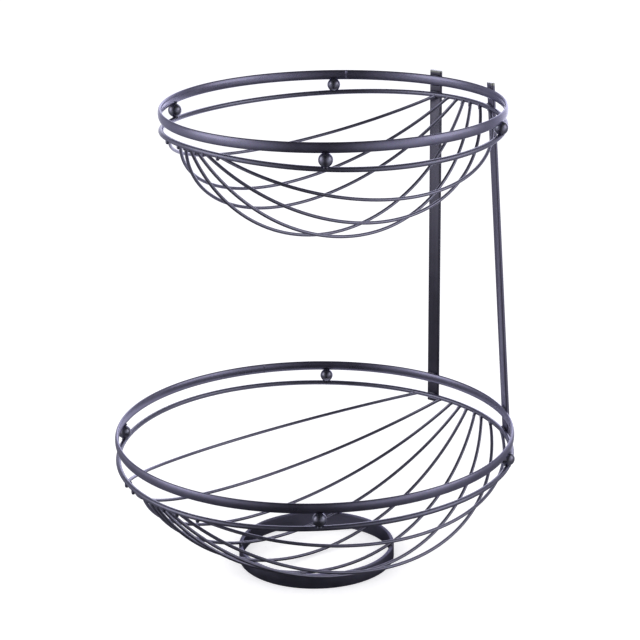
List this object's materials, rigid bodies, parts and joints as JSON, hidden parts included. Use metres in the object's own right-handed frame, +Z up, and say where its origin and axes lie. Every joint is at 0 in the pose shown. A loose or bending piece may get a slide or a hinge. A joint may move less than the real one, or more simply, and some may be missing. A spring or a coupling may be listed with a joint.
{
  "type": "tiered wire basket",
  "caption": "Tiered fruit basket of welded wire: a small round bowl over a larger one, joined by flat upright bars at the back and standing on a foot ring.",
  "frame": {"origin": "on the floor, at the centre of the foot ring and of the larger bowl, which is the centre of the bounding box's bottom", "axes": "+Z up, +Y to the back, where the two upright bars are, +X to the right when it is seen from the front"},
  "size_m": [0.3, 0.3, 0.3555],
  "materials": {
    "coated_strip": "satin powder coat on rolled steel strip, dark charcoal",
    "coated_rod": "satin powder coat on round steel rod and wire, dark charcoal",
    "coated_ball": "satin powder coat on steel balls, dark charcoal"
  },
  "bodies": {
    "root": {"foot_ring": "coated_strip", "lower_rim": "coated_strip", "lower_ring": "coated_rod", "lower_ball_1": "coated_ball", "lower_ball_2": "coated_ball", "lower_ball_3": "coated_ball", "lower_ball_4": "coated_ball", "lower_wire_1": "coated_rod", "lower_wire_2": "coated_rod", "lower_wire_3": "coated_rod", "lower_wire_4": "coated_rod", "lower_wire_5": "coated_rod", "lower_wire_6": "coated_rod", "lower_wire_7": "coated_rod", "lower_wire_8": "coated_rod", "lower_wire_9": "coated_rod", "upper_rim": "coated_strip", "upper_ring": "coated_rod", "upper_ball_1": "coated_ball", "upper_ball_2": "coated_ball", "upper_ball_3": "coated_ball", "upper_ball_4": "coated_ball", "upper_wire_1": "coated_rod", "upper_wire_2": "coated_rod", "upper_wire_3": "coated_rod", "upper_wire_4": "coated_rod", "upper_wire_5": "coated_rod", "upper_wire_6": "coated_rod", "upper_wire_7": "coated_rod", "left_upright": "coated_strip", "right_upright": "coated_strip"}
  },
  "joints": []
}
